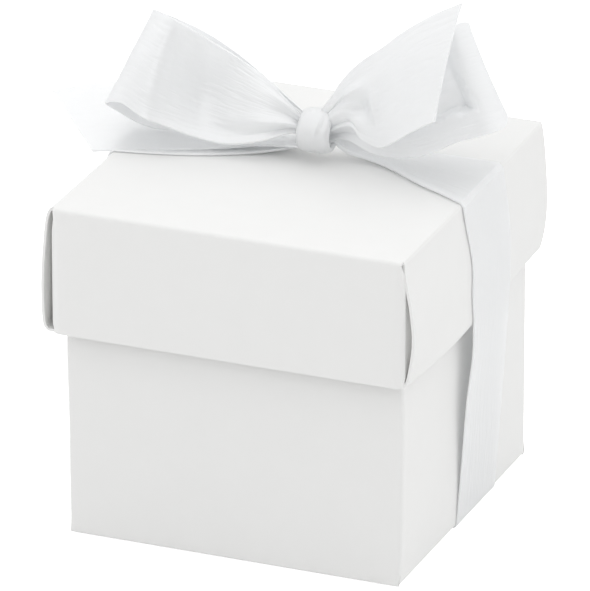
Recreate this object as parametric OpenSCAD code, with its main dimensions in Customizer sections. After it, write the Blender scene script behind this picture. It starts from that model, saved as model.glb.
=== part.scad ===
// Two-piece favor box of folded card, tied with a satin ribbon and a bow.
// Origin: on the surface the box stands on, below the middle of the base.
// The front wall faces -Y, the ribbon runs round the box from left to right.

/* [Card] */
// Thickness of the card
card_t = 0.4; // [0.3:0.05:0.6]
// Outer radius of a plain crease
crease_r = 0.6; // [0.5:0.05:1]
// Air left between layers of card that lie on each other
lay_gap = 0.05; // [0.02:0.01:0.1]

/* [Base] */
// Outer width of the base, left to right
base_w = 50; // [40:1:80]
// Outer depth of the base, front to back
base_d = 50; // [40:1:80]
// Height of the base
base_h = 50; // [40:1:80]
// Length of a corner tab of the base
base_tab_l = 15; // [10:1:18]
// Width of a lock tongue on a base side wall
tongue_w = 8; // [5:1:10]
// Distance of a lock tongue from the middle of its wall
tongue_y = 12; // [9:1:14]
// Air round a lock tongue in its notch
tongue_gap = 0.1; // [0.05:0.05:0.3]

/* [Lid] */
// Height of the lid's walls, top face to lower edge
lid_h = 19; // [14:1:30]
// Air between the base's side wall and the lid's inner panel
lid_gap = 0.3; // [0.2:0.05:0.6]
// Air between the base and the lid's front and back walls
lid_play = 2; // [0.5:0.25:3]
// Air between the base's rim and the lid's top
seat_gap = 0.1; // [0.05:0.05:0.3]
// Outer radius of the soft shoulder and of the rolled lower edge
roll_r = 0.95; // [0.9:0.05:1.5]
// How far a side wall bulges out beyond the middle of its shoulder
bulge = 1.8; // [1.6:0.1:2.4]
// Length of a corner tab of the lid
lid_tab_l = 14; // [10:1:18]
// How much a corner tab narrows on each side towards its end
tab_taper = 2; // [1:0.5:3]

/* [Ribbon] */
// Width of the ribbon
ribbon_w = 15; // [10:1:20]
// Thickness of the ribbon
ribbon_t = 0.25; // [0.2:0.05:0.4]
// Place of the ribbon's middle line behind the middle of the box
ribbon_y = 3.4; // [0:0.2:4]
// Air between the ribbon and the card
ribbon_gap = 0.1; // [0.05:0.05:0.2]

/* [Knot] */
// Length of the knot's wrap, left to right
knot_l = 5; // [4:0.5:8]
// Radius of the knot at its middle
knot_r = 3.2; // [3:0.1:4]
// Height of the knot's middle above the lid's top
knot_rise = 4.5; // [4.4:0.1:6]
// Place of the knot to the right of the middle of the box
knot_x = 1.3; // [-2:0.1:3]
// Place of the knot behind the middle of the box
knot_y = 2.6; // [0:0.2:4]
// Air between the knot and what comes out of it
knot_gap = 0.1; // [0.05:0.05:0.2]
// Width of the ribbon where it is gathered in the knot
gather_w = 4.4; // [4:0.2:5]

/* [Left loop] */
// Reach of the fold's middle to the left of the knot
left_loop_reach = 27.7; // [20:0.5:35]
// Height of the fold's middle above the knot
left_loop_rise = 7.8; // [6:0.2:12]
// Place of the fold's middle in front of the knot
left_loop_front_y = 1.6; // [0:0.2:3]
// Swell of the two leaves of the left loop, each way
left_loop_swell = 5; // [3:0.5:8]

/* [Right loop] */
// Reach of the fold's middle to the right of the knot
right_loop_reach = 25.1; // [20:0.5:35]
// Height of the fold's middle above the knot
right_loop_rise = 11.7; // [10:0.2:14]
// Place of the fold's middle behind the knot
right_loop_back_y = 4; // [3:0.2:6]
// Swell of the two leaves of the right loop, each way
right_loop_swell = 4; // [3:0.5:6]

/* [Left tail] */
// Reach of the middle of the left tail's cut end, left of the knot
left_tail_reach = 36; // [25:0.5:40]
// Drop of the middle of the left tail's cut end below the knot
left_tail_drop = 2.7; // [1.5:0.2:3]
// How far the left tail's cut end leans out of square
left_tail_slant = 4.5; // [0:0.5:6]

/* [Right tail] */
// Reach of the middle of the right tail's cut end, right of the knot
right_tail_reach = 22.7; // [18:0.5:30]
// Height of the middle of the right tail's cut end above the knot
right_tail_rise = 16.6; // [12:0.2:20]
// Place of the middle of the right tail's cut end in front of the knot
right_tail_front_y = 5.6; // [5:0.2:8]
// How far the right tail's cut end leans out of square
right_tail_slant = 4.5; // [0:0.5:6]

/* [Hidden] */

// Roundness of creases and of the knot, and steps along an arc of a bent strip
$fn = 72;
small_arc_steps = 12;
wide_arc_steps = 24;

// Levels of the base
base_z = ribbon_t;
floor_z = base_z + card_t;
rim_z = base_z + base_h;

// The base's rolled side walls: outer panel, tab and inner panel lie on each other
base_half_w = base_w / 2;
base_half_d = base_d / 2;
base_tab_x = base_half_w - card_t - lay_gap;
base_inner_x = base_tab_x - card_t - lay_gap;
base_roll_r = (base_half_w - base_inner_x + card_t) / 2;
base_roll_z = rim_z - base_roll_r;
base_wall_top_z = base_roll_z - lay_gap;

// Levels and half sizes of the lid
lid_under_z = rim_z + seat_gap;
lid_top_z = lid_under_z + card_t;
lid_low_z = lid_top_z - lid_h;
lid_inner_x = base_half_w + lid_gap + card_t;
lid_half_w = lid_inner_x - card_t + roll_r;
lid_half_d = base_half_d + lid_play + card_t;

// The lid's side wall: a wide arc that meets the shoulder and the rolled edge smoothly
shoulder_z = lid_top_z - roll_r;
roll_z = lid_low_z + roll_r;
arc_half_h = (shoulder_z - roll_z) / 2;
arc_mid_z = (shoulder_z + roll_z) / 2;
arc_r = (arc_half_h * arc_half_h + bulge * bulge - roll_r * roll_r) / (2 * (bulge - roll_r));
arc_x = lid_half_w + bulge - arc_r;
arc_deg = asin(arc_half_h / (arc_r - roll_r));

// The ribbon's inner face on the lid, and the line that it takes down to the base
run_r = arc_r + ribbon_gap;
run_foot_x = base_half_w + ribbon_gap;
run_foot_z = base_z;
foot_dx = run_foot_x - arc_x;
foot_dz = run_foot_z - arc_mid_z;
leave_deg = atan2(foot_dz, foot_dx) + acos(run_r / norm([foot_dx, foot_dz]));
leave_x = arc_x + run_r * cos(leave_deg);
leave_z = arc_mid_z + run_r * sin(leave_deg);

// Middle of the knot, and the sides that the ribbon comes out of
knot_mid = [knot_x, knot_y, lid_top_z + knot_rise];
knot_side = knot_l / 2 + knot_gap;

// Steps along and across a gathered stretch of ribbon
along_steps = 18;
across_steps = 4;

// Directions across the ribbon, at the knot and at each far end
upright_dir = [0, 0, 1];
level_dir = [0, 1, 0];
left_fold_dir = [0.34, 0.5, 0.8];
right_fold_dir = [-0.52, 0.17, 0.84];
left_tail_dir = [-0.15, 0.96, 0.2];
right_tail_dir = [-0.4, 0.32, 0.86];

// Where each stretch lies in the knot's side face, as shares of the knot's radius
left_front_shares = [-0.42, 0.05];
left_back_shares = [0.42, 0.05];
left_tail_shares = [0, -0.78];
right_tail_shares = [-0.62, 0.05];
right_front_shares = [-0.05, 0.05];
right_back_shares = [0.5, 0.05];
top_run_shares = [0, -0.95];

// How soon a stretch reaches its full width, and where its route bends, as shares of its reach
widen_share = 0.77;
leaf_near_shares = [0.35, 0.9, 0.3];
leaf_far_share = 1.3;
tail_bend_shares = [1 / 3, 2 / 3];
top_run_bend_shares = [0.25, 0.5];

function mix(a, b, t) = a + (b - a) * t;
function ease(t) = t * t * (3 - 2 * t);
function unit(v) = v / norm(v);
function curve(p, t) =
    pow(1 - t, 3) * p[0] + 3 * pow(1 - t, 2) * t * p[1] + 3 * (1 - t) * t * t * p[2] + pow(t, 3) * p[3];

// Points along an arc round [x, z], from angle a to angle b, without the first one
function arc_points(x, z, r, a, b, steps) =
    [for (i = [1:steps]) let (deg = mix(a, b, i / steps)) [x + r * cos(deg), z + r * sin(deg)]];

// Creased or rolled card: a ring sector round a line along Y, from angle a to angle b
module arc_band(x, z, r_out, thick, a, b, depth) {
    translate([x, 0, z]) rotate([90, 0, 0]) rotate([0, 0, a])
        rotate_extrude(angle = b - a)
            translate([r_out - thick, -depth / 2]) square([thick, depth]);
}

// Strip bent in the X-Z plane, between two lines of points that run the same way
module bent_strip(outer, inner, depth) {
    back = len(inner) - 1;
    rotate([90, 0, 0]) linear_extrude(depth, center = true)
        polygon(concat(outer, [for (i = [0:back]) inner[back - i]]));
}

// Flat plate between two corners
module plate(low, high) {
    translate(low) cube(high - low);
}

// Ribbon: middle points, directions across and widths, one of each per step
module strip(mids, dirs, widths) {
    last = len(mids) - 1;
    row = across_steps + 1;
    normals = [for (i = [0:last])
        unit(cross(mids[min(i + 1, last)] - mids[max(i - 1, 0)], dirs[i]))];
    points = [for (side = [-1, 1]) for (i = [0:last]) for (j = [0:across_steps])
        mids[i] + dirs[i] * widths[i] * (j / across_steps - 1 / 2) + normals[i] * side * ribbon_t / 2];
    upper = (last + 1) * row;
    faces = concat(
        [for (i = [0:last - 1]) for (j = [0:across_steps - 1]) let (k = i * row + j)
            each [[k, k + 1, k + row + 1], [k, k + row + 1, k + row]]],
        [for (i = [0:last - 1]) for (j = [0:across_steps - 1]) let (k = upper + i * row + j)
            each [[k, k + row + 1, k + 1], [k, k + row, k + row + 1]]],
        [for (i = [0:last - 1]) let (k = i * row, m = upper + k)
            each [[k, k + row, m + row], [k, m + row, m]]],
        [for (i = [0:last - 1]) let (k = i * row + across_steps, m = upper + k)
            each [[k, m + row, k + row], [k, m, m + row]]],
        [for (j = [0:across_steps - 1]) let (m = upper + j)
            each [[j, m + 1, j + 1], [j, m, m + 1]]],
        [for (j = [0:across_steps - 1]) let (k = last * row + j, m = upper + k)
            each [[k, k + 1, m + 1], [k, m + 1, m]]]
    );
    polyhedron(points, faces);
}

// A stretch that widens from its gathered end to the full ribbon.
// slant is how far one edge runs ahead of the other at the cut end.
module gathered(route, near_dir, far_dir, slant) {
    steps = [for (i = [0:along_steps]) i / along_steps];
    ahead = unit(route[3] - route[2]) * slant / ribbon_w;
    strip(
        [for (t = steps) curve(route, t)],
        [for (t = steps) unit(mix(near_dir, far_dir, ease(t)) + ahead * t * ease(t))],
        [for (t = steps) mix(gather_w, ribbon_w, ease(min(1, t / widen_share)))]);
}

// Point where a stretch leaves the knot; side is -1 on the left and 1 on the right
function root(side, shares) =
    knot_mid + [side * knot_side, shares[0] * knot_r, shares[1] * knot_r];

// One leaf of a loop, from the knot to the fold; swell is positive for the leaf behind
module leaf(side, shares, fold, fold_dir, swell) {
    start = root(side, shares);
    reach = fold - start;
    near = start + [
        reach[0] * leaf_near_shares[0],
        swell * leaf_near_shares[1],
        reach[2] * leaf_near_shares[2]
    ];
    far = fold + [0, swell * leaf_far_share, 0];
    gathered([start, near, far, fold], upright_dir, unit(fold_dir), 0);
}

module base_bottom() color("white") difference() {
    plate([crease_r - base_half_w, crease_r - base_half_d, base_z],
          [base_half_w - crease_r, base_half_d - crease_r, floor_z]);
    for (side = [-1, 1]) for (end = [-1, 1])
        translate([side * (base_inner_x - card_t / 2), end * tongue_y, base_z + card_t / 2])
            cube([2 * crease_r + card_t, tongue_w + 2 * tongue_gap, 2 * card_t], center = true);
}

// Front wall of the base, with its creases to the bottom and to the corner tabs
module base_front_wall() color("white") {
    plate([crease_r - base_tab_x, -base_half_d, base_z + crease_r],
          [base_tab_x - crease_r, card_t - base_half_d, base_wall_top_z]);
    rotate([0, 0, 90])
        arc_band(crease_r - base_half_d, base_z + crease_r, crease_r, card_t, 180, 270,
                 2 * (base_tab_x - crease_r));
    for (side = [0, 1]) mirror([side, 0, 0])
        corner_crease(base_tab_x, base_half_d, base_z + crease_r, base_wall_top_z);
}

// Upright crease between a wall at -Y and the tab at +X
module corner_crease(half_w, half_d, low, high) {
    translate([half_w - crease_r, crease_r - half_d, low]) rotate([0, 0, -90])
        rotate_extrude(angle = 90) translate([crease_r - card_t, 0]) square([card_t, high - low]);
}

// Outer panel of a rolled side wall of the base, with the crease below and the roll above
module base_side_wall() color("white") {
    arc_band(base_half_w - crease_r, base_z + crease_r, crease_r, card_t, 270, 360,
             2 * (base_half_d - crease_r));
    plate([base_half_w - card_t, -base_half_d, base_z + crease_r], [base_half_w, base_half_d, base_roll_z]);
    arc_band(base_half_w - base_roll_r, base_roll_z, base_roll_r, card_t, 0, 180, base_d);
}

// Inner panel of a rolled side wall, with the tongues that lock it in the bottom's notches
module base_side_inner() color("white") {
    half = base_half_d - crease_r - lay_gap;
    plate([base_inner_x - card_t, -half, floor_z], [base_inner_x, half, base_roll_z]);
    for (end = [-1, 1])
        plate([base_inner_x - card_t, end * tongue_y - tongue_w / 2, base_z],
              [base_inner_x, end * tongue_y + tongue_w / 2, floor_z]);
}

// Corner tab behind the front wall at the right, tapered towards its end
module corner_tab(x, half_d, low, high, length) {
    front = crease_r - half_d;
    back = front + length;
    translate([x - card_t, 0, 0]) rotate([90, 0, 90]) linear_extrude(card_t)
        polygon([[front, low], [back, low + tab_taper], [back, high - tab_taper], [front, high]]);
}

module base_tab() color("white")
    corner_tab(base_tab_x, base_half_d, base_z + crease_r, base_wall_top_z, base_tab_l);

module lid_top() color("white")
    plate([-lid_half_w, crease_r - lid_half_d, lid_under_z], [lid_half_w, lid_half_d - crease_r, lid_top_z]);

// Front wall of the lid, with its creases to the top and to the corner tabs
module lid_front_wall() color("white") {
    plate([crease_r - lid_half_w, -lid_half_d, lid_low_z],
          [lid_half_w - crease_r, card_t - lid_half_d, lid_top_z - crease_r]);
    rotate([0, 0, 90])
        arc_band(crease_r - lid_half_d, lid_top_z - crease_r, crease_r, card_t, 90, 180, 2 * lid_half_w);
    for (side = [0, 1]) mirror([side, 0, 0])
        corner_crease(lid_half_w, lid_half_d, lid_low_z, lid_top_z - crease_r);
}

// Section line of the lid's right wall, moved out by offset: shoulder, wide arc and rolled lower edge
function lid_side_line(offset) = concat(
    [[lid_half_w, shoulder_z + roll_r + offset]],
    arc_points(lid_half_w, shoulder_z, roll_r + offset, 90, arc_deg, small_arc_steps),
    arc_points(arc_x, arc_mid_z, arc_r + offset, arc_deg, -arc_deg, wide_arc_steps),
    arc_points(lid_half_w, roll_z, roll_r + offset, -arc_deg, -180, small_arc_steps));

// Bulged outer panel of the lid's right wall
module lid_side_wall() color("white")
    bent_strip(lid_side_line(0), lid_side_line(-card_t), 2 * (lid_half_d - crease_r - lay_gap));

// Flat inner panel of the lid's right wall, beside the base
module lid_side_inner() color("white") {
    half = lid_half_d - crease_r - lay_gap;
    plate([lid_inner_x - card_t, -half, roll_z], [lid_inner_x, half, lid_under_z - lay_gap]);
}

module lid_tab() color("white")
    corner_tab(lid_half_w, lid_half_d, roll_z + lay_gap, lid_top_z - crease_r, lid_tab_l);

module ribbon_under() color("snow")
    plate([-run_foot_x - ribbon_t, ribbon_y - ribbon_w / 2, 0],
          [run_foot_x + ribbon_t, ribbon_y + ribbon_w / 2, ribbon_t]);

// Free run of the ribbon, straight from the base's lower edge to where it meets the lid's bulge
module ribbon_side() color("snow")
    translate([0, ribbon_y + ribbon_w / 2, 0]) rotate([90, 0, 0]) linear_extrude(ribbon_w)
        polygon([
            [run_foot_x, run_foot_z],
            [run_foot_x + ribbon_t, run_foot_z],
            [leave_x + ribbon_t * cos(leave_deg), leave_z + ribbon_t * sin(leave_deg)],
            [leave_x, leave_z]
        ]);

// Section line of the ribbon over the lid's shoulder and bulged wall, moved out from the card by offset
function lid_run_line(offset) = concat(
    [[lid_half_w, shoulder_z + roll_r + offset]],
    arc_points(lid_half_w, shoulder_z, roll_r + offset, 90, arc_deg, small_arc_steps),
    arc_points(arc_x, arc_mid_z, arc_r + offset, arc_deg, leave_deg, wide_arc_steps));

// Run of the ribbon over the lid's bulged wall and its shoulder
module ribbon_lid_side() color("snow") translate([0, ribbon_y, 0])
    bent_strip(lid_run_line(ribbon_gap + ribbon_t), lid_run_line(ribbon_gap), ribbon_w);

// Run of the ribbon from the lid's edge to the knot; side is -1 on the left and 1 on the right
module ribbon_top(side) color("snow") {
    start = root(side, top_run_shares);
    edge = [side * lid_half_w, ribbon_y, lid_top_z + ribbon_gap + ribbon_t / 2];
    span = edge[0] - start[0];
    gathered(
        [start,
         [start[0] + span * top_run_bend_shares[0], knot_y, edge[2]],
         [start[0] + span * top_run_bend_shares[1], ribbon_y, edge[2]],
         edge],
        level_dir, level_dir, 0);
}

// Barrel of ribbon wrapped round the middle of the bow
module bow_knot() color("snow") translate(knot_mid) rotate([0, 90, 0]) rotate_extrude() intersection() {
    translate([knot_r - knot_l, 0]) circle(r = knot_l);
    translate([0, -knot_l / 2]) square([knot_r, knot_l]);
}

module left_loop_front() color("snow")
    leaf(-1, left_front_shares, knot_mid + [-left_loop_reach, -left_loop_front_y, left_loop_rise],
         left_fold_dir, -left_loop_swell);

module left_loop_back() color("snow")
    leaf(-1, left_back_shares, knot_mid + [-left_loop_reach, -left_loop_front_y, left_loop_rise],
         left_fold_dir, left_loop_swell);

module right_loop_front() color("snow")
    leaf(1, right_front_shares, knot_mid + [right_loop_reach, right_loop_back_y, right_loop_rise],
         right_fold_dir, -right_loop_swell);

module right_loop_back() color("snow")
    leaf(1, right_back_shares, knot_mid + [right_loop_reach, right_loop_back_y, right_loop_rise],
         right_fold_dir, right_loop_swell);

// Straight route of a tail from the knot to the middle of its cut end
function tail_route(start, end) =
    [start, mix(start, end, tail_bend_shares[0]), mix(start, end, tail_bend_shares[1]), end];

module left_tail() color("snow")
    gathered(
        tail_route(root(-1, left_tail_shares), knot_mid + [-left_tail_reach, 0, -left_tail_drop]),
        level_dir, unit(left_tail_dir), left_tail_slant);

module right_tail() color("snow")
    gathered(
        tail_route(root(1, right_tail_shares),
                   knot_mid + [right_tail_reach, -right_tail_front_y, right_tail_rise]),
        upright_dir, unit(right_tail_dir), right_tail_slant);

base_bottom();
base_front_wall();
rotate([0, 0, 180]) base_front_wall();  // base_back_wall
mirror([1, 0, 0]) base_side_wall();  // base_left_wall
base_side_wall();  // base_right_wall
mirror([1, 0, 0]) base_side_inner();  // base_left_inner_wall
base_side_inner();  // base_right_inner_wall
mirror([1, 0, 0]) base_tab();  // base_front_left_tab
base_tab();  // base_front_right_tab
rotate([0, 0, 180]) base_tab();  // base_back_left_tab
mirror([0, 1, 0]) base_tab();  // base_back_right_tab
lid_top();
lid_front_wall();
rotate([0, 0, 180]) lid_front_wall();  // lid_back_wall
mirror([1, 0, 0]) lid_side_wall();  // lid_left_wall
lid_side_wall();  // lid_right_wall
mirror([1, 0, 0]) lid_side_inner();  // lid_left_inner_wall
lid_side_inner();  // lid_right_inner_wall
mirror([1, 0, 0]) lid_tab();  // lid_front_left_tab
lid_tab();  // lid_front_right_tab
rotate([0, 0, 180]) lid_tab();  // lid_back_left_tab
mirror([0, 1, 0]) lid_tab();  // lid_back_right_tab
ribbon_under();
mirror([1, 0, 0]) ribbon_side();  // ribbon_left_side
ribbon_side();  // ribbon_right_side
mirror([1, 0, 0]) ribbon_lid_side();  // ribbon_left_lid_side
ribbon_lid_side();  // ribbon_right_lid_side
ribbon_top(-1);  // ribbon_left_top
ribbon_top(1);  // ribbon_right_top
bow_knot();
left_loop_front();
left_loop_back();
right_loop_front();
right_loop_back();
left_tail();
right_tail();
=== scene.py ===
"""Looks of the favor box: folded white card, satin ribbon and a bow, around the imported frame."""
import math

import bpy
import numpy as np
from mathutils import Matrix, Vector


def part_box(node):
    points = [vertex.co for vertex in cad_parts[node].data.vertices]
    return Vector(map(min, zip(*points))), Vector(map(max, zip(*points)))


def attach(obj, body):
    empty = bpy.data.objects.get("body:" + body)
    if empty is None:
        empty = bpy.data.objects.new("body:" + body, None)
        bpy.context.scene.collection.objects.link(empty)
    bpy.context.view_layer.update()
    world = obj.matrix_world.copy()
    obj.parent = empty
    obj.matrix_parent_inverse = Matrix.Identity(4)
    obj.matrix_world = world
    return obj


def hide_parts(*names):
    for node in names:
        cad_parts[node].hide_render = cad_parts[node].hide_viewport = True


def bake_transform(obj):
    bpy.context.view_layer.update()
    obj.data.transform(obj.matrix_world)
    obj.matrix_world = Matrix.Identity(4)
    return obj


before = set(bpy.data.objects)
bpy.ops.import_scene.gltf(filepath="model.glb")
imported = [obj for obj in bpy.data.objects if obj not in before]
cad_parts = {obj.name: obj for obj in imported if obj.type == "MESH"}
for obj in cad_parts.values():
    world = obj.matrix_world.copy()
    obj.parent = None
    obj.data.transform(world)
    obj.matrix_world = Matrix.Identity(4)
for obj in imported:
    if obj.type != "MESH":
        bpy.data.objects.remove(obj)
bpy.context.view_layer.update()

MM = 0.001
RIBBON_W = 15
ACROSS_STEPS = 33
SHARP_ANGLE = math.radians(30)

# Levels and sizes of the box in millimetres, from the frame
top_low, top_high = (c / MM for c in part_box("lid_top"))
front_low, front_high = (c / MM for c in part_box("lid_front_wall"))
inner_low, inner_high = (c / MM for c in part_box("lid_right_inner_wall"))
wall_low, wall_high = (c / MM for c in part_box("base_right_wall"))
_, base_front_high = (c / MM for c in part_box("base_front_wall"))
_, bottom_high = (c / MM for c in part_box("base_bottom"))
_, under_high = (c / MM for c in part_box("ribbon_under"))
knot_low, knot_high = (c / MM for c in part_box("bow_knot"))
card_t = top_high.z - top_low.z
lid_half_w, lid_half_d = top_high.x, -front_low.y
lid_top_z, lid_low_z = top_high.z, front_low.z
lid_fold_r = front_high.y - front_low.y
lid_wall_half = inner_high.y
roll_end = (inner_low.x, inner_low.z)
base_half_w, base_half_d, base_z = wall_high.x, wall_high.y, wall_low.z
bottom_half_w = bottom_high.x
base_fold_r = 0.45
base_roll_r = (wall_high.x - wall_low.x) / 2
base_roll_z = wall_high.z - base_roll_r
base_front_top_z = base_front_high.z
ribbon_t = under_high.z
ribbon_gap = under_high.x - ribbon_t - base_half_w
knot_mid = np.array((knot_low + knot_high) / 2)


def ease(t):
    """Smooth step from 0 to 1."""
    t = np.clip(t, 0, 1)
    return t * t * (3 - 2 * t)


def unit(v):
    return v / np.linalg.norm(v, axis=-1, keepdims=True)


def spline(keys, t):
    """Smooth line through rows of keys, whose first column is the place along it."""
    keys = np.asarray(keys, float)
    at, p = keys[:, 0], keys[:, 1:]
    slope = np.gradient(p, at, axis=0)
    i = np.clip(np.searchsorted(at, t, side="right") - 1, 0, len(at) - 2)
    h = (at[i + 1] - at[i])[:, None]
    u = (t - at[i])[:, None] / h
    return ((2 * u**3 - 3 * u**2 + 1) * p[i] + (u**3 - 2 * u**2 + u) * h * slope[i]
            + (3 * u**2 - 2 * u**3) * p[i + 1] + (u**3 - u**2) * h * slope[i + 1])


def span(front, back):
    """Grid of points straight across a ribbon between its two edges."""
    v = np.linspace(0, 1, ACROSS_STEPS)[None, :, None]
    return front[:, None] * (1 - v) + back[:, None] * v


def normals(grid, ring=False):
    """Unit normals of a grid of points."""
    if ring:
        wide = np.concatenate([grid[-1:], grid, grid[:1]])
        along = (wide[2:] - wide[:-2]) / 2
    else:
        along = np.gradient(grid, axis=0)
    return unit(np.cross(np.gradient(grid, axis=1), along))


def pleat(grid, folds):
    """Raises folds on a grid: (place across, width, height, start, end), shares but for the height."""
    t = np.linspace(0, 1, len(grid))
    v = np.linspace(0, 1, grid.shape[1])
    fade_in = 4
    lift = np.zeros(grid.shape[:2])
    for place, width, height, start, end in folds:
        share = (t - start) / (end - start)
        fade = ease(share * fade_in) * (1 - ease(share))
        lift += height * fade[:, None] * np.exp(-(((v - place) / width) ** 2))[None]
    return grid + normals(grid) * lift[..., None]


def dimple(grid, marks):
    """Presses soft hollows into a grid or raises bumps: each is (along, across, length, width, height)."""
    t = np.linspace(0, 1, len(grid))[:, None]
    v = np.linspace(0, 1, grid.shape[1])[None]
    lift = sum(height * np.exp(-(((t - along) / length) ** 2) - ((v - across) / width) ** 2)
               for along, across, length, width, height in marks)
    return grid + normals(grid) * lift[..., None]


def sag(grid, keys):
    """Bows a grid across its width, by keys of height along it."""
    t = np.linspace(0, 1, len(grid))
    v = np.linspace(0, 1, grid.shape[1])
    lift = spline(keys, t) * (4 * v * (1 - v))[None]
    return grid + normals(grid) * lift[..., None]


def placed(name, data):
    """An object in the scene for a mesh, a light or a camera."""
    thing = bpy.data.objects.new(name, data)
    bpy.context.scene.collection.objects.link(thing)
    return thing


def finished(name, mesh):
    """The object of a mesh, smooth but for its sharp edges."""
    mesh.validate()
    mesh.shade_smooth()
    mesh.set_sharp_from_angle(angle=SHARP_ANGLE)
    return placed(name, mesh)


def ribbon_mesh(name, grid, thick=ribbon_t, ring=False):
    """Closed ribbon of the given thickness round a grid of points in millimetres, with round edges."""
    rows, cols = grid.shape[:2]
    v = np.linspace(0, 1, cols)
    edge_share = 0.035
    edge_bead = 1.35
    uv_unit = 10
    swell = np.where((v < edge_share) | (v > 1 - edge_share), edge_bead, 1.0)
    out = normals(grid, ring) * (thick / 2) * swell[None, :, None]
    side_a = unit(grid[:, 0] - grid[:, 1]) * thick / 2 + grid[:, 0]
    side_b = unit(grid[:, -1] - grid[:, -2]) * thick / 2 + grid[:, -1]
    loop = np.concatenate([grid + out, side_b[:, None], (grid - out)[:, ::-1], side_a[:, None]], axis=1)
    around = loop.shape[1]
    points = loop.reshape(-1, 3) * MM
    length = np.concatenate([[0], np.cumsum(np.linalg.norm(np.diff(grid[:, cols // 2], axis=0), axis=1))])
    width = np.concatenate([v, [1], v[::-1], [0]]) * RIBBON_W
    faces = []
    last = rows if ring else rows - 1
    for i in range(last):
        a, b = i * around, ((i + 1) % rows) * around
        for j in range(around):
            k = (j + 1) % around
            faces.append((a + j, a + k, b + k, b + j))
    if not ring:
        for start in (0, (rows - 1) * around):
            for j in range(cols - 1):
                quad = (start + j, start + j + 1, start + 2 * cols - j - 1, start + 2 * cols - j)
                faces.append(quad if start else quad[::-1])
            for tri in ((start + cols - 1, start + cols, start + cols + 1),
                        (start + 2 * cols, start + 2 * cols + 1, start)):
                faces.append(tri if start else tri[::-1])
    mesh = bpy.data.meshes.new(name)
    mesh.from_pydata(points.tolist(), [], faces)
    uv = mesh.uv_layers.new(name="UVMap")
    step_along = np.append(length, length[-1] + length[1])
    for poly in mesh.polygons:
        seam = ring and poly.index >= (rows - 1) * around
        for corner in poly.loop_indices:
            i, j = divmod(mesh.loops[corner].vertex_index, around)
            row = rows if seam and i == 0 else i
            uv.data[corner].uv = (step_along[row] / uv_unit, width[j] / uv_unit)
    return finished(name, mesh)


def card_mesh(name, face):
    """Closed card of even thickness behind a grid of points in millimetres on its outer face."""
    rows, cols = face.shape[:2]
    back = face - normals(face) * card_t
    points = np.concatenate([face.reshape(-1, 3), back.reshape(-1, 3)]) * MM
    behind = rows * cols
    faces = []
    for i in range(rows - 1):
        for j in range(cols - 1):
            a = i * cols + j
            quad = (a, a + 1, a + cols + 1, a + cols)
            faces.append(quad)
            faces.append(tuple(k + behind for k in quad[::-1]))
    edge = (list(range(cols)) + [i * cols + cols - 1 for i in range(1, rows)]
            + [(rows - 1) * cols + j for j in range(cols - 2, -1, -1)]
            + [i * cols for i in range(rows - 2, 0, -1)])
    for a, b in zip(edge, edge[1:] + edge[:1]):
        faces.append((b, a, a + behind, b + behind))
    mesh = bpy.data.meshes.new(name)
    mesh.from_pydata(points.tolist(), [], faces)
    return finished(name, mesh)


def arc(x, z, r, start, end, steps):
    """Points along an arc round [x, z] without the first one; angles in radians."""
    angles = np.linspace(start, end, steps + 1)[1:]
    return np.stack([x + r * np.cos(angles), z + r * np.sin(angles)], axis=1)


def line(a, b, steps):
    """Points along a straight line without the first one."""
    return np.linspace(a, b, steps + 1)[1:]


def even(keys, steps):
    """Points evenly spread along a smooth line through the keys."""
    keys = np.asarray(keys, float)
    far = np.concatenate([[0], np.cumsum(np.linalg.norm(np.diff(keys, axis=0), axis=1))])
    fine = spline(np.column_stack([far / far[-1], keys]), np.linspace(0, 1, 6 * steps))
    far = np.concatenate([[0], np.cumsum(np.linalg.norm(np.diff(fine, axis=0), axis=1))])
    at = np.linspace(0, far[-1], steps)
    return np.stack([np.interp(at, far, fine[:, k]) for k in range(fine.shape[1])], axis=1)


# Sections of the lid's bulged walls from the top over the shoulder and the bulge to the rolled edge:
# distance out from the middle and height, in millimetres, at the front end and at the rear end
ROLL = [(25.75, 31.8), (25.42, 32.15), roll_end]
RIGHT_WALL_FRONT = [
    (26.25, 50.75), (26.42, 50.5), (26.52, 49.6), (26.68, 48.4), (26.9, 47.1), (27.43, 44.5),
    (27.78, 41.8), (27.98, 39.4), (27.77, 36.3), (27.45, 34.4), (27.16, 33.0), (26.75, 32.1),
    (26.25, 31.75), *ROLL,
]
RIGHT_WALL_REAR = [
    (26.25, 50.75), (26.5, 50.5), (26.65, 49.9), (26.8, 48.9), (27.02, 47.1), (27.19, 45.2),
    (27.42, 41.6), (27.44, 39.0), (27.29, 36.5), (26.92, 34.0), (26.61, 32.7), (26.4, 32.05),
    (26.1, 31.75), *ROLL,
]
LEFT_WALL_FRONT = [
    (26.25, 50.75), (26.75, 50.6), (27.12, 50.2), (27.38, 49.6), (27.66, 48.3), (27.92, 45.8),
    (28.23, 42.1), (28.37, 38.5), (28.34, 36.0), (28.21, 33.6), (27.98, 32.4), (27.4, 31.8),
    (26.7, 31.75), *ROLL,
]
LEFT_WALL_REAR = RIGHT_WALL_REAR
# How far the lower edge of a side wall bows out beyond these sections, by depth
LOW_EDGE_BOW = [
    (-26.75, 0), (-22.2, 0.45), (-15.4, 0.85), (-9.5, 1.0), (-4.6, 0.9), (3.4, 0.7), (11.5, 0.5),
    (20.4, 0.15), (26.75, 0),
]
# How far the base's walls stand out above their feet at the front, by height
RIGHT_FLARE = [
    (0.25, 0), (3, 0.28), (6, 0.48), (10, 0.58), (16.5, 0.66), (22, 0.73), (27, 0.73), (29.5, 0.62),
    (32.5, 0.28), (37, 0.2), (50.3, 0),
]
LEFT_FLARE = [
    (0.25, 0), (7, 0.12), (18, 0.2), (24, 0.34), (28, 0.42), (30.5, 0.38), (33.5, 0.24), (50.3, 0),
]
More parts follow.
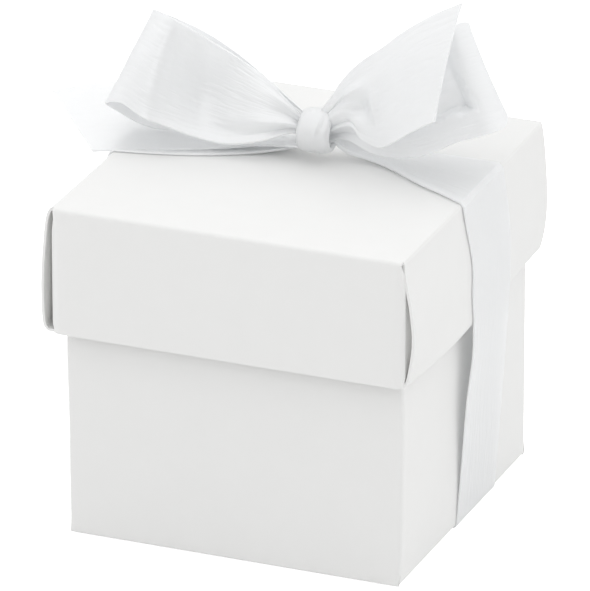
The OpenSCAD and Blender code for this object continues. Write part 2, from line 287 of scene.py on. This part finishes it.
# Steps along the section of a lid's side wall, and from the lid's front to its rear
WALL_STEPS = 121
LID_STEPS = 41


def rise(y):
    """How far the lid's top bows up towards the rear."""
    rear_rise = 0.8
    curve = 1.6
    return rear_rise * np.clip((np.asarray(y) / lid_half_d + 1) / 2, 0, 1) ** curve


def wall_line(side, y):
    """Section of the lid's left (-1) or right (1) wall at a depth, as distance out and height."""
    front, rear = (RIGHT_WALL_FRONT, RIGHT_WALL_REAR) if side > 0 else (LEFT_WALL_FRONT, LEFT_WALL_REAR)
    share = (y / lid_wall_half + 1) / 2
    points = even(front, WALL_STEPS) * (1 - share) + even(rear, WALL_STEPS) * share
    x, z = points.T
    outside = ease((x - roll_end[0]) / (lid_half_w - roll_end[0]))
    bow_h = 3.5
    bow = spline(LOW_EDGE_BOW, np.array([y]))[0, 0]
    x = x + bow * np.exp(-((z - lid_low_z) / bow_h) ** 2) * outside
    shoulder_h = 10
    z = z + rise(y) * ease((z - lid_top_z + shoulder_h) / shoulder_h)
    return np.column_stack([x, z])


def mirrored(face, side):
    """The face of a right-hand panel as it is, or turned over for the left-hand side (-1)."""
    return face if side > 0 else face[:, ::-1] * (-1, 1, 1)


def lid_side_wall(side):
    """Outer face of the lid's bulged side wall."""
    depths = np.linspace(lid_wall_half, -lid_wall_half, LID_STEPS)
    columns = [np.insert(wall_line(side, y), 1, y, axis=1) for y in depths]
    return mirrored(np.stack(columns, axis=1), side)


def lid_top_face():
    """Outer face of the lid's top, from the front crease to the rear one."""
    depths = np.linspace(top_low.y, top_high.y, LID_STEPS)
    y, x = np.meshgrid(depths, np.linspace(-lid_half_w, lid_half_w, 9), indexing="ij")
    return np.stack([x, y, lid_top_z + rise(y)], axis=2)


def end_turn(half_w, turn_w, turn_d, steps=10):
    """Plan of a wall's rounded end: distance out and distance behind the wall's face."""
    a = np.linspace(0, math.pi / 2, steps)
    return half_w - turn_w * (1 - np.cos(a)), turn_d * (1 - np.sin(a))


def upright_wall(rows, half_left, half_right, turn_w, turn_d, half_d, end=-1):
    """Outer face of a front or rear wall from rows of inset and height, with its half widths by height."""
    face = []
    crease_z = rows[np.argmax(rows[:, 0]), 1]
    turn_h = 2.5
    fades = ease(abs(rows[:, 1] - crease_z) / turn_h)
    for (inset, z), left, right, wide, fade in zip(rows, half_left, half_right, turn_w, fades):
        x_right, back_right = end_turn(right, wide, turn_d)
        x_left, back_left = end_turn(left, wide, turn_d)
        middle = np.linspace(x_right[-1], -x_left[-1], 25)[1:-1]
        x = np.concatenate([x_right, middle, -x_left[::-1]])
        back = np.concatenate([back_right, 0 * middle, back_left[::-1]]) * fade
        face.append(np.column_stack([x, back + inset - half_d, np.full(len(x), z)]))
    face = np.array(face)
    return face if end < 0 else face * (-1, -1, 1)


def end_widening(z):
    """How far the lid's front wall is wider than its crease to the top, by height."""
    widening = 0.37
    top_h, low_h = 4, 2
    low_loss = 0.4
    return widening * ease((lid_top_z - z) / top_h) * (1 - low_loss * ease((lid_low_z + low_h - z) / low_h))


def lid_end_wall(end):
    """Outer face of the lid's front (-1) or rear (1) wall, with its crease to the top."""
    r = lid_fold_r
    bend_steps = 6
    bend_start = math.pi / 2 * (1 + 1 / bend_steps)
    turn_share, turn_extra_d = 3.2, 0.2
    rows = np.concatenate([
        arc(0, 0, 1, bend_start, 0, bend_steps + 1) * (-r, r) + (r, lid_top_z - r),
        line(np.array([0, lid_top_z - r]), np.array([0, lid_low_z]), 40),
    ])
    z = rows[:, 1]
    wide = end_widening(z) if end < 0 else 0 * z
    rows[:, 1] += rise(end * lid_half_d)
    half_w = lid_half_w + wide
    return upright_wall(rows, half_w, half_w, r + turn_share * wide, r + turn_extra_d, lid_half_d, end)


def lid_corner_tab(side):
    """Outer face of a front corner tab, which springs out against the back of the bulged side wall."""
    low, high = (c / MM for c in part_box("lid_front_right_tab"))
    heights = np.linspace(high.z, low.z, 31)
    depths = np.linspace(high.y, low.y, LID_STEPS)
    reach_d = 3.5
    air = 0.05
    seat = card_t + air
    start = lid_half_w + end_widening(heights)
    face = []
    for y in depths:
        x, z = wall_line(side, y).T
        outside = slice(0, np.argmin(z) + 1)
        limit = np.interp(-heights, -z[outside], x[outside]) - seat
        way = ease((y - depths[-1]) / reach_d)
        x = np.minimum(start + (limit - start) * way, limit)
        face.append(np.column_stack([x, 0 * heights + y, heights]))
    return mirrored(np.stack(face, axis=1), side)


def base_end_wall(end):
    """Outer face of the base's front (-1) or rear (1) wall, with its crease to the bottom."""
    r = base_fold_r
    foot = base_half_w - bottom_half_w
    rows = np.concatenate([
        [(0, base_front_top_z)], line(np.array([0, base_front_top_z]), np.array([0, base_z + r]), 60),
        arc(0, 0, 1, 0, -math.pi / 2, 7) * (-r, r) + (r, base_z + r), [(foot, base_z)],
    ])
    half_ws = [base_half_w + (spline(keys, rows[:, 1])[:, 0] if end < 0 else 0 * rows[:, 1])
               for keys in (LEFT_FLARE, RIGHT_FLARE)]
    return upright_wall(rows, *half_ws, np.full(len(rows), r), r, base_half_d, end)


def base_side_wall(side):
    """Outer face of the base's side wall, with the roll at its top and the crease to the bottom."""
    r = base_fold_r
    foot = base_half_w - bottom_half_w
    roll_steps = 12
    roll_start = math.pi * (roll_steps + 1) / roll_steps
    rows = np.concatenate([
        arc(base_half_w - base_roll_r, base_roll_z, base_roll_r, roll_start, 0, roll_steps + 1),
        line(np.array([base_half_w, base_roll_z]), np.array([base_half_w, base_z + r]), 60),
        arc(base_half_w - r, base_z + r, r, 0, -math.pi / 2, 7), [(base_half_w - foot, base_z)],
    ])
    half = base_half_d - r
    depths = np.linspace(half, -half, 31)[None, :]
    front_share = (1 - depths / half) / 2
    out = spline(RIGHT_FLARE if side > 0 else LEFT_FLARE, rows[:, 1])
    x = rows[:, :1] + out * front_share
    return mirrored(np.stack([x, depths + 0 * x, rows[:, 1:] + 0 * x], axis=2), side)


# Edges of the bow's stretches: place along, then x, y and z from the middle of the knot, in millimetres.
# A loop runs from the knot over its front leaf, round the fold and back over its rear leaf.
LEFT_LOOP_LOW = [
    (0, -0.5, -0.4, -1.5), (0.05, -2.3, -1.3, 0.0), (0.12, -6.5, -3.9, -0.8), (0.2, -11.4, -4.5, -1.8),
    (0.28, -16.2, -4.8, -1.4), (0.36, -20.0, -7.1, 0.6), (0.42, -23.5, -8.0, 2.0), (0.46, -26.9, -6.7, 3.0),
    (0.5, -29.9, -5.2, 1.9), (0.54, -29.2, -3.2, 0.2), (0.59, -26.9, -2.2, -1.4), (0.65, -23.5, -1.6, -2.4),
    (0.76, -16.3, 0.8, -1.2), (0.88, -8.3, 1.3, -0.9), (0.96, -2.9, 0.8, -0.6), (1, -0.5, 0.4, -0.6),
]
LEFT_LOOP_HIGH = [
    (0, -0.5, -0.2, 2.0), (0.05, -3.1, -0.4, 3.5), (0.12, -7.1, -0.1, 6.8), (0.2, -12.0, 0.5, 9.3),
    (0.28, -16.4, 0.1, 11.6), (0.36, -19.3, -1.7, 14.0), (0.42, -21.7, -1.7, 14.9),
    (0.46, -23.8, 0.1, 14.7), (0.5, -25.6, 2.3, 14.0), (0.54, -25.8, 4.2, 13.0),
    (0.6, -23.9, 5.6, 11.8), (0.68, -19.5, 6.0, 10.2), (0.78, -13.5, 5.0, 7.8),
    (0.88, -8.1, 3.0, 5.5), (0.95, -4.9, 1.6, 4.1), (1, -0.5, 0.8, 1.4),
]
RIGHT_LOOP_LOW = [
    (0, 0.5, -0.2, -1.6), (0.05, 4.3, -0.6, -0.1), (0.12, 9.4, -2.0, -0.9), (0.2, 14.5, -3.0, -0.5),
    (0.28, 19.0, -3.4, 1.1), (0.36, 22.6, -3.0, 3.1), (0.42, 25.4, -2.0, 4.0), (0.46, 27.1, -0.6, 4.4),
    (0.5, 28.0, 1.6, 4.6), (0.54, 27.5, 3.8, 5.3), (0.6, 25.3, 5.6, 4.2), (0.7, 18.9, 6.6, 1.8),
    (0.82, 11.0, 5.4, -0.6), (0.93, 4.0, 2.2, -1.3), (1, 0.5, 0.6, -0.8),
]
RIGHT_LOOP_HIGH = [
    (0, 0.5, -0.2, 1.4), (0.05, 4.7, 0.0, 4.4), (0.12, 8.6, 0.0, 8.4), (0.2, 12.5, 0.0, 12.0),
    (0.28, 16.1, 0.0, 15.0), (0.36, 19.0, 0.2, 17.5), (0.42, 20.5, 1.0, 18.7), (0.46, 21.0, 2.4, 18.8),
    (0.5, 21.4, 4.2, 18.2), (0.54, 20.4, 6.0, 17.0), (0.6, 19.0, 7.6, 16.2), (0.7, 13.9, 7.6, 13.3),
    (0.82, 8.1, 5.6, 8.8), (0.93, 3.3, 2.4, 4.1), (1, 0.5, 0.8, 1.8),
]
RIGHT_TAIL_LOW = [
    (0, 0.2, -1.0, -0.6), (0.1, 5.3, -2.0, 2.5), (0.25, 8.6, -3.6, 1.6), (0.4, 11.9, -5.2, 1.5),
    (0.55, 14.8, -6.4, 3.4), (0.7, 17.5, -7.2, 5.5), (0.85, 19.7, -7.8, 7.0), (1, 21.3, -8.2, 8.0),
]
RIGHT_TAIL_HIGH = [
    (0, 0.2, -0.6, 2.4), (0.08, 2.5, -0.4, 5.7), (0.2, 4.1, -0.6, 8.4), (0.35, 7.0, -0.8, 11.8),
    (0.5, 10.6, -1.2, 14.8), (0.65, 13.9, -1.7, 17.8), (0.8, 18.2, -2.3, 21.0), (1, 23.2, -2.9, 24.0),
]
LEFT_TAIL_LOW = [
    (0, -0.3, -1.0, -2.2), (0.06, -2.8, -1.2, -2.2), (0.2, -8.0, -1.0, -2.9), (0.4, -14.3, -2.9, -3.6),
    (0.6, -20.1, -5.1, -3.85), (0.8, -25.4, -6.9, -4.0), (1, -31.1, -7.6, -4.8),
]
LEFT_TAIL_HIGH = [
    (0, -0.3, 1.0, -2.0), (0.2, -7.3, 3.9, -2.4), (0.4, -14.3, 6.4, -2.0), (0.6, -22.3, 7.6, -1.2),
    (0.82, -33.4, 6.9, 0.0), (1, -42.7, 4.9, -1.9),
]
LOOP_STEPS, TAIL_STEPS = 121, 73


def stretch(low, high, steps):
    """Grid of one stretch of the bow between its two edges, in the part's frame."""
    t = np.linspace(0, 1, steps)
    return span(spline(low, t), spline(high, t)) + knot_mid


def left_loop():
    grid = stretch(LEFT_LOOP_LOW, LEFT_LOOP_HIGH, LOOP_STEPS)
    grid = sag(grid, [(0, 0), (0.1, 0.6), (0.2, -0.3), (0.28, -1.5), (0.36, -1.0), (0.42, 0.2), (0.46, 0.6),
                      (0.5, 0), (0.8, 0.3), (1, 0)])
    return pleat(grid, [
        (0.12, 0.08, -0.9, 0.02, 0.3), (0.3, 0.08, 0.6, 0.0, 0.25), (0.55, 0.09, -0.4, 0.0, 0.2),
        (0.8, 0.06, 0.4, 0.0, 0.18),
    ])


def right_loop():
    grid = stretch(RIGHT_LOOP_LOW, RIGHT_LOOP_HIGH, LOOP_STEPS)
    grid = pleat(grid, [(0.2, 0.1, 0.5, 0.0, 0.2), (0.5, 0.1, -0.5, 0.0, 0.2), (0.75, 0.07, 0.4, 0.0, 0.2)])
    return dent(grid)


def dent(grid):
    """Presses a three-cornered dent into the front leaf, beside the fold."""
    t = np.linspace(0, 1, len(grid))[:, None]
    v = np.linspace(0, 1, grid.shape[1])[None]
    corner_t, corner_v = 0.452, 0.2
    strip_lean, crease_lean = 0.11, 0.5
    reach_t, reach_v = 0.2, 0.85
    from_strip = (corner_t - t) - strip_lean * (v - corner_v)
    from_crease = (v - corner_v) - crease_lean * (corner_t - t)
    far = np.hypot((corner_t - t) / reach_t, (v - corner_v) / reach_v)
    depth = 2.7
    soft_t, soft_v = 0.04, 0.06
    press = ease(from_strip / soft_t) * ease(from_crease / soft_v) * (1 - ease(far))
    return grid + normals(grid) * (depth * press)[..., None]


def right_tail():
    grid = stretch(RIGHT_TAIL_LOW, RIGHT_TAIL_HIGH, TAIL_STEPS)
    grid = sag(grid, [(0, 0), (0.3, -0.3), (0.7, -0.5), (1, -0.4)])
    grid = dimple(grid, [
        (0.3, 0.45, 0.07, 0.15, 1.5), (0.42, 0.47, 0.03, 0.18, -0.6), (0.27, 0.72, 0.12, 0.06, -0.7),
    ])
    return pleat(grid, [
        (0.68, 0.06, 0.6, 0.0, 0.4), (0.12, 0.06, 0.5, 0.0, 0.4), (0.4, 0.08, -0.5, 0.0, 0.2),
    ])


def left_tail():
    grid = stretch(LEFT_TAIL_LOW, LEFT_TAIL_HIGH, TAIL_STEPS)
    return pleat(grid, [(0.3, 0.12, 0.3, 0.0, 0.5), (0.7, 0.12, -0.3, 0.0, 0.5)])


# The ribbon round the box: edges of its two runs on the lid's top, in the part's frame in millimetres
RIGHT_RUN_FRONT = [
    (0, 1.6, 3.0, 54.4), (0.1, 3.8, 3.4, 53.4), (0.2, 5.6, 3.3, 52.2), (0.33, 8.8, 3.8, 51.3),
    (0.46, 12.0, 2.9, 51.0), (0.72, 18.7, -1.1, 51.0), (0.88, 22.9, -3.2, 51.0), (1, 26.25, -5.0, 51.0),
]
RIGHT_RUN_BACK = [
    (0, 1.6, 4.6, 56.4), (0.1, 3.8, 6.4, 55.0), (0.2, 5.6, 7.6, 53.8), (0.33, 8.8, 8.8, 52.2),
    (0.46, 12.0, 9.6, 51.3), (0.72, 18.7, 10.2, 51.0), (0.88, 22.9, 10.3, 51.0), (1, 26.25, 10.2, 51.0),
]
LEFT_RUN_FRONT = [
    (0, 1.0, 2.2, 53.4), (0.12, -1.6, 2.2, 52.4), (0.3, -6.4, 1.2, 51.3), (0.6, -14.4, -2.2, 51.0),
    (0.85, -22.0, -4.4, 51.0), (1, -26.25, -5.2, 51.0),
]
LEFT_RUN_BACK = [
    (0, 1.0, 4.8, 54.0), (0.12, -1.6, 6.0, 52.6), (0.3, -6.4, 8.0, 51.3), (0.6, -14.4, 9.6, 51.0),
    (0.85, -22.0, 10.0, 51.0), (1, -26.25, 9.9, 51.0),
]
# Places of the ribbon's edges in depth over the height of the box: height, front edge, rear edge
RIGHT_SIDE_EDGES = [
    (0, -2.6, 12.0), (9.5, -2.8, 11.9), (20.5, -3.2, 11.6), (28, -2.7, 11.4), (31.5, -3.4, 11.2),
    (38, -4.1, 10.8), (42, -4.0, 10.6), (46.5, -4.6, 10.4), (51, -5.0, 10.2),
]
LEFT_SIDE_EDGES = [(0, -2.6, 12.0), (20, -3.6, 11.2), (38, -4.4, 10.4), (51, -5.2, 9.9)]


def side_section(side, y):
    """The ribbon's middle line in X and Z at a depth, from the lid's top edge down to below the base."""
    lift = ribbon_gap + ribbon_t / 2
    foot_r = 0.7
    lid_steps, free_steps, foot_steps, under_steps = 28, 44, 5, 24
    foot = np.array([base_half_w + lift, base_z + foot_r])
    over = wall_line(side, y)
    along = np.gradient(over, axis=0)
    over = over + unit(np.column_stack([-along[:, 1], along[:, 0]])) * lift
    lean = (over[:, 0] - foot[0]) / np.maximum(over[:, 1] - foot[1], 1)
    over = even(over[:np.argmax(lean) + 1], lid_steps)
    foot_turn = arc(foot[0] - foot_r, foot[1], foot_r, 0, -math.pi / 2, foot_steps)
    foot_turn[:, 1] -= (foot_turn[-1, 1] - ribbon_t / 2) * (foot[1] - foot_turn[:, 1]) / foot_r
    return np.concatenate([
        over[1:], line(over[-1], foot, free_steps), foot_turn,
        line(foot_turn[-1], np.array([0, ribbon_t / 2]), under_steps),
    ])


def half_wrap(side, run_front, run_back, edges, folds):
    """Grid of half of the ribbon round the box; side is -1 on the left and 1 on the right."""
    top_steps = 33
    t = np.linspace(0, 1, top_steps)
    rails = []
    for run, column in ((run_front, 0), (run_back, 1)):
        section = side_section(side, edges[-1][1 + column])
        y = spline(edges, np.clip(section[:, 1], 0, edges[-1][0]))[:, column]
        rails.append(np.concatenate([
            spline(run, t), np.stack([side * section[:, 0], y, section[:, 1]], axis=1)]))
        rails[-1][:len(t), 2] += rise(rails[-1][:len(t), 1])
    grid = pleat(span(*rails), [(v, w, side * h, a, b) for v, w, h, a, b in folds])
    on_top = grid[:len(t)]
    lowest = lid_top_z + rise(on_top[..., 1]) + ribbon_gap + ribbon_t / 2
    on_top[..., 2] = np.maximum(on_top[..., 2], lowest)
    return grid


def ribbon_wrap():
    """The ribbon from the knot over the lid's right side, below the base and up on the left."""
    right = half_wrap(1, RIGHT_RUN_FRONT, RIGHT_RUN_BACK, RIGHT_SIDE_EDGES, [
        (0.42, 0.09, -1.1, 0.0, 0.16), (0.06, 0.055, -0.75, 0.0, 0.36), (0.7, 0.016, -0.2, 0.27, 0.55),
        (0.76, 0.014, -0.16, 0.27, 0.5),
    ])
    left = half_wrap(-1, LEFT_RUN_FRONT, LEFT_RUN_BACK, LEFT_SIDE_EDGES, [(0.4, 0.1, -0.4, 0.0, 0.15)])
    return np.concatenate([right, left[::-1][1:]])


# Section of the knot's wrap, folded on itself in three layers: place along the knot, radius
KNOT_SECTION = [
    (0, -1.8, 1.9), (0.04, -1.95, 2.4), (0.1, -1.6, 2.85), (0.19, -0.6, 3.12), (0.28, 0.7, 3.18),
    (0.36, 1.9, 3.05), (0.42, 2.65, 2.8), (0.46, 2.9, 2.45), (0.5, 2.6, 2.2), (0.58, 1.2, 2.4),
    (0.68, -0.6, 2.35), (0.74, -1.4, 2.1), (0.78, -1.5, 1.9), (0.82, -1.0, 1.75), (0.9, 0.8, 1.9),
    (1, 2.4, 1.8),
]


def knot_wrap():
    """Grid of the ribbon's turn round the middle of the bow."""
    turn_steps, section_steps = 73, 49
    turns = np.linspace(0, 2 * math.pi, turn_steps)[:-1]
    section = spline(KNOT_SECTION, np.linspace(0, 1, section_steps))
    place, radius = section[None, :, 0], section[None, :, 1]
    angle = turns[:, None]
    sway = 0.25
    full_x = place + sway * np.sin(angle + 0.6) * np.cos(place)
    crease_x, crease_sway, crease_w, crease_depth = 1.5, 0.5, 0.28, 0.14
    outer_layer = radius > 2.7
    crease = np.exp(-((place - crease_x - crease_sway * np.sin(angle)) / crease_w) ** 2) * outer_layer
    radius = radius - crease_depth * crease
    middle_rise = 0.45
    uneven_y, uneven_z = 0.04, 0.05
    round_y = radius * np.cos(angle) * (1 + uneven_y * np.cos(2 * angle))
    round_z = radius * np.sin(angle) * (1 + uneven_z * np.cos(3 * angle + 0.5)) + middle_rise
    tilt = 0.1
    x = full_x + tilt * round_z
    return np.stack([x + 0 * angle, round_y, round_z], axis=2) + knot_mid


# Materials
def new_material(name):
    """A node material with its shader, and two functions: one makes a node, one links two sockets."""
    material = bpy.data.materials.new(name)
    material.use_nodes = True
    tree = material.node_tree
    tree.nodes.clear()
    shader = tree.nodes.new("ShaderNodeBsdfPrincipled")
    result = tree.nodes.new("ShaderNodeOutputMaterial")
    tree.links.new(shader.outputs["BSDF"], result.inputs["Surface"])

    def node(kind, **values):
        made = tree.nodes.new(kind)
        for key, value in values.items():
            if key in made.inputs:
                made.inputs[key].default_value = value
            else:
                setattr(made, key, value)
        return made

    return material, node, tree.links.new, shader


def mottled(node, link, tint, darker, pattern):
    """Colour that wavers between the tint and a little darker, by a pattern."""
    shade = node("ShaderNodeMix", data_type="RGBA", blend_type="MIX")
    shade.inputs["A"].default_value = (*[c * darker for c in tint], 1)
    shade.inputs["B"].default_value = (*tint, 1)
    link(pattern.outputs["Fac"], shade.inputs["Factor"])
    return shade


def card_material(name, tint):
    """Smooth coated white card: faint fibre mottle, fine tooth and a soft sheen."""
    material, node, link, shader = new_material(name)
    place = node("ShaderNodeTexCoord").outputs["Object"]
    mottle = node("ShaderNodeTexNoise", Scale=220.0, Detail=5.0, Roughness=0.6)
    fibres = node("ShaderNodeTexNoise", Scale=2600.0, Detail=3.0, Roughness=0.65)
    cloud = node("ShaderNodeTexNoise", Scale=45.0, Detail=2.0)
    for texture in (mottle, fibres, cloud):
        link(place, texture.inputs["Vector"])
    shade = mottled(node, link, tint, 0.975, mottle)
    link(shade.outputs["Result"], shader.inputs["Base Color"])
    gloss = node("ShaderNodeMapRange", **{"To Min": 0.48, "To Max": 0.62})
    link(cloud.outputs["Fac"], gloss.inputs["Value"])
    link(gloss.outputs["Result"], shader.inputs["Roughness"])
    tooth = node("ShaderNodeBump", Strength=0.25, Distance=0.00002)
    link(fibres.outputs["Fac"], tooth.inputs["Height"])
    waves = node("ShaderNodeBump", Strength=0.35, Distance=0.00006)
    link(cloud.outputs["Fac"], waves.inputs["Height"])
    link(tooth.outputs["Normal"], waves.inputs["Normal"])
    link(waves.outputs["Normal"], shader.inputs["Normal"])
    shader.inputs["Specular IOR Level"].default_value = 0.35
    return material


def satin_material(name, tint):
    """White satin: long warp floats, faint weft lines, a silky gloss, and light that shines through."""
    material, node, link, shader = new_material(name)
    place = node("ShaderNodeTexCoord").outputs["UV"]
    warp = node("ShaderNodeTexNoise", Scale=1.0, Detail=4.0, Roughness=0.55)
    weft = node("ShaderNodeTexNoise", Scale=1.0, Detail=2.0)
    wave = node("ShaderNodeTexNoise", Scale=1.0, Detail=2.0, Distortion=0.4)
    scales = ((warp, (2.2, 42.0, 1.0)), (weft, (60.0, 6.0, 1.0)), (wave, (2.2, 15.0, 1.0)))
    for texture, scale in scales:
        mapping = node("ShaderNodeMapping", Scale=scale)
        link(place, mapping.inputs["Vector"])
        link(mapping.outputs["Vector"], texture.inputs["Vector"])
    shade = mottled(node, link, tint, 0.985, warp)
    link(shade.outputs["Result"], shader.inputs["Base Color"])
    gloss = node("ShaderNodeMapRange", **{"To Min": 0.3, "To Max": 0.46})
    link(warp.outputs["Fac"], gloss.inputs["Value"])
    link(gloss.outputs["Result"], shader.inputs["Roughness"])
    threads = node("ShaderNodeBump", Strength=0.4, Distance=0.00005)
    link(warp.outputs["Fac"], threads.inputs["Height"])
    ribs = node("ShaderNodeBump", Strength=0.15, Distance=0.00003)
    link(weft.outputs["Fac"], ribs.inputs["Height"])
    link(threads.outputs["Normal"], ribs.inputs["Normal"])
    waves = node("ShaderNodeBump", Strength=0.6, Distance=0.0002)
    link(wave.outputs["Fac"], waves.inputs["Height"])
    link(ribs.outputs["Normal"], waves.inputs["Normal"])
    link(waves.outputs["Normal"], shader.inputs["Normal"])
    shader.inputs["Metallic"].default_value = 0.26
    shader.inputs["Specular IOR Level"].default_value = 0.6
    shader.inputs["Anisotropic"].default_value = 0.6
    along = node("ShaderNodeTangent", direction_type="UV_MAP", uv_map="UVMap")
    link(along.outputs["Tangent"], shader.inputs["Tangent"])
    shader.inputs["Sheen Weight"].default_value = 0.15
    shader.inputs["Sheen Roughness"].default_value = 0.4
    through = node("ShaderNodeBsdfTranslucent")
    link(shade.outputs["Result"], through.inputs["Color"])
    through_share = 0.32
    both = node("ShaderNodeMixShader")
    both.inputs[0].default_value = through_share
    link(shader.outputs["BSDF"], both.inputs[1])
    link(through.outputs["BSDF"], both.inputs[2])
    link(both.outputs["Shader"], material.node_tree.nodes["Material Output"].inputs["Surface"])
    return material


def floor_material(name, tint):
    """Pale matt floor that glows a little, and more to the camera, so that it looks white."""
    material, node, link, shader = new_material(name)
    shader.inputs["Base Color"].default_value = (*tint, 1)
    shader.inputs["Roughness"].default_value = 0.9
    shader.inputs["Emission Color"].default_value = (1, 1, 1, 1)
    rays = node("ShaderNodeLightPath")
    glow = node("ShaderNodeMapRange", **{"To Min": 0.14, "To Max": 0.75})
    link(rays.outputs["Is Camera Ray"], glow.inputs["Value"])
    link(glow.outputs["Result"], shader.inputs["Emission Strength"])
    return material


def make_camera():
    """Camera, fitted to the corners of base and lid."""
    azimuth, elevation = math.radians(22.08), math.radians(23.12)
    distance = 1.33
    target = Vector((-0.72, 0, 30.85)) * MM
    image_height = 591
    pixels_per_metre = 7030
    flat = math.cos(elevation)
    back = Vector((math.sin(azimuth) * flat, -math.cos(azimuth) * flat, math.sin(elevation)))
    data = bpy.data.cameras.new("camera")
    data.sensor_width = 36
    data.lens = data.sensor_width * pixels_per_metre * distance / image_height
    data.clip_start, data.clip_end = 0.01, 50
    camera = placed("camera", data)
    camera.location = target + back * distance
    camera.rotation_euler = (-back).to_track_quat("-Z", "Y").to_euler()
    bpy.context.scene.camera = camera


def softbox(name, place, size, radiance):
    """A soft square light that looks at the middle of the box, with its radiance on the tent's scale."""
    data = bpy.data.lights.new(name, "AREA")
    data.shape = "SQUARE"
    data.size = size
    data.energy = radiance * math.pi * size**2
    lamp = placed(name, data)
    lamp.location = place
    box_middle = Vector((0, 0, 0.04))
    lamp.rotation_euler = (box_middle - Vector(place)).to_track_quat("-Z", "Y").to_euler()


def make_studio():
    """Light tent that is dimmer in front, two softboxes, on the left and in front, and a pale floor."""
    world = bpy.data.worlds.new("tent")
    bpy.context.scene.world = world
    world.use_nodes = True
    tree = world.node_tree
    link = tree.links.new
    surround = tree.nodes["Background"]
    surround.inputs["Color"].default_value = (1, 1, 1, 1)
    front = Vector((0.375, -0.927, 0))
    across = Vector((0.927, 0.375, 0))
    up = Vector((0, 0, 1))
    lobes = [(front, 0.27), (-front, 0.74), (across, 1.1), (-across, 0.56), (up, 1.48)]
    falloff = 2.0
    looking = tree.nodes.new("ShaderNodeTexCoord").outputs["Generated"]
    total = None
    for axis, strength in lobes:
        facing = tree.nodes.new("ShaderNodeVectorMath")
        facing.operation = "DOT_PRODUCT"
        facing.inputs[1].default_value = axis
        link(looking, facing.inputs[0])
        value = facing.outputs["Value"]
        for operation, number in (("MAXIMUM", 0.0), ("POWER", falloff), ("MULTIPLY", strength)):
            step = tree.nodes.new("ShaderNodeMath")
            step.operation = operation
            step.inputs[1].default_value = number
            link(value, step.inputs[0])
            value = step.outputs[0]
        if total:
            step = tree.nodes.new("ShaderNodeMath")
            link(total, step.inputs[0])
            link(value, step.inputs[1])
            value = step.outputs[0]
        total = value
    link(total, surround.inputs["Strength"])
    backdrop = tree.nodes.new("ShaderNodeBackground")
    backdrop.inputs["Color"].default_value = (1, 1, 1, 1)
    backdrop.inputs["Strength"].default_value = 1.0
    rays = tree.nodes.new("ShaderNodeLightPath")
    pick = tree.nodes.new("ShaderNodeMixShader")
    link(rays.outputs["Is Camera Ray"], pick.inputs[0])
    link(surround.outputs[0], pick.inputs[1])
    link(backdrop.outputs[0], pick.inputs[2])
    link(pick.outputs[0], tree.nodes["World Output"].inputs["Surface"])
    softbox("left_softbox", (-0.75, -0.15, 0.36), 0.8, 0.38)
    softbox("front_softbox", (-0.1, -0.82, 0.6), 0.6, 0.9)
    floor_half = 6.0
    floor_drop = 0.02 * MM
    corners = [(x * floor_half, y * floor_half, 0) for x, y in ((-1, -1), (1, -1), (1, 1), (-1, 1))]
    mesh = bpy.data.meshes.new("floor")
    mesh.from_pydata(corners, [], [(0, 1, 2, 3)])
    mesh.materials.append(floor_material("floor_white", (0.8, 0.8, 0.8)))
    floor = placed("floor", mesh)
    floor.location.z = -floor_drop
    scene = bpy.context.scene
    scene.view_settings.view_transform = "Standard"
    scene.view_settings.look = "None"
    light_bounces = 30
    scene.cycles.max_bounces = light_bounces
    scene.cycles.diffuse_bounces = light_bounces


def dress_ribbon():
    """Builds the ribbon's pieces round the frame, gives the bow's pieces to the lid's body and leaves the
    wrap round the box in place.
    """
    satin = satin_material("ribbon_satin", (0.984, 0.989, 0.993))
    carried = ["bow_knot_wrap"]
    stretches = [
        ("bow_loop_left", left_loop(), ["left_loop_front", "left_loop_back"], 0.063, "folded"),
        ("bow_loop_right", right_loop(), ["right_loop_front", "right_loop_back"], 0.060, "folded"),
        ("bow_tail_left", left_tail(), ["left_tail"], 0.037, "gathered"),
        ("bow_tail_right", right_tail(), ["right_tail"], 0.028, "gathered"),
    ]
    made = []
    for name, grid, nodes, length, held in stretches:
        piece = ribbon_mesh(name, grid)
        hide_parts(*nodes)
        made.append((piece, length, held, carried))
    layer_t = 0.16
    knot = ribbon_mesh("bow_knot_wrap", knot_wrap(), layer_t, ring=True)
    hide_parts("bow_knot")
    made.append((knot, 0.0185, "gathered", ["ribbon_wrap"]))
    wrap = ribbon_mesh("ribbon_wrap", ribbon_wrap())
    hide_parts("ribbon_under", "ribbon_left_side", "ribbon_right_side", "ribbon_left_lid_side",
                "ribbon_right_lid_side", "ribbon_left_top", "ribbon_right_top")
    made.append((wrap, 0.207, "stretched", ["lid_top", "base_bottom"]))
    for piece, length, held, carrier in made:
        piece.data.materials.append(satin)
        if piece is wrap:
            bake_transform(wrap)
        else:
            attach(piece, "lid")


def dress_card():
    """Models the card panels that show in their soft shapes, and gives all the card its finish."""
    finishes = {
        "base": card_material("base_card", (0.83, 0.83, 0.822)),
        "lid": card_material("lid_card", (0.825, 0.825, 0.817)),
    }
    panels = {
        "lid_top": lid_top_face(),
        "lid_front_wall": lid_end_wall(-1),
        "lid_back_wall": lid_end_wall(1),
        "lid_left_wall": lid_side_wall(-1),
        "lid_right_wall": lid_side_wall(1),
        "lid_front_left_tab": lid_corner_tab(-1),
        "lid_front_right_tab": lid_corner_tab(1),
        "base_front_wall": base_end_wall(-1),
        "base_back_wall": base_end_wall(1),
        "base_left_wall": base_side_wall(-1),
        "base_right_wall": base_side_wall(1),
    }
    for name, face in panels.items():
        panel = card_mesh(name + "_card", face)
        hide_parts(name)
        part = name.split("_")[0]
        panel.data.materials.append(finishes[part])
        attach(panel, part)
    for name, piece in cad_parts.items():
        if name in panels:
            continue
        for part, material in finishes.items():
            if name.startswith(part):
                piece.data.materials.clear()
                piece.data.materials.append(material)


make_camera()
make_studio()
dress_card()
dress_ribbon()
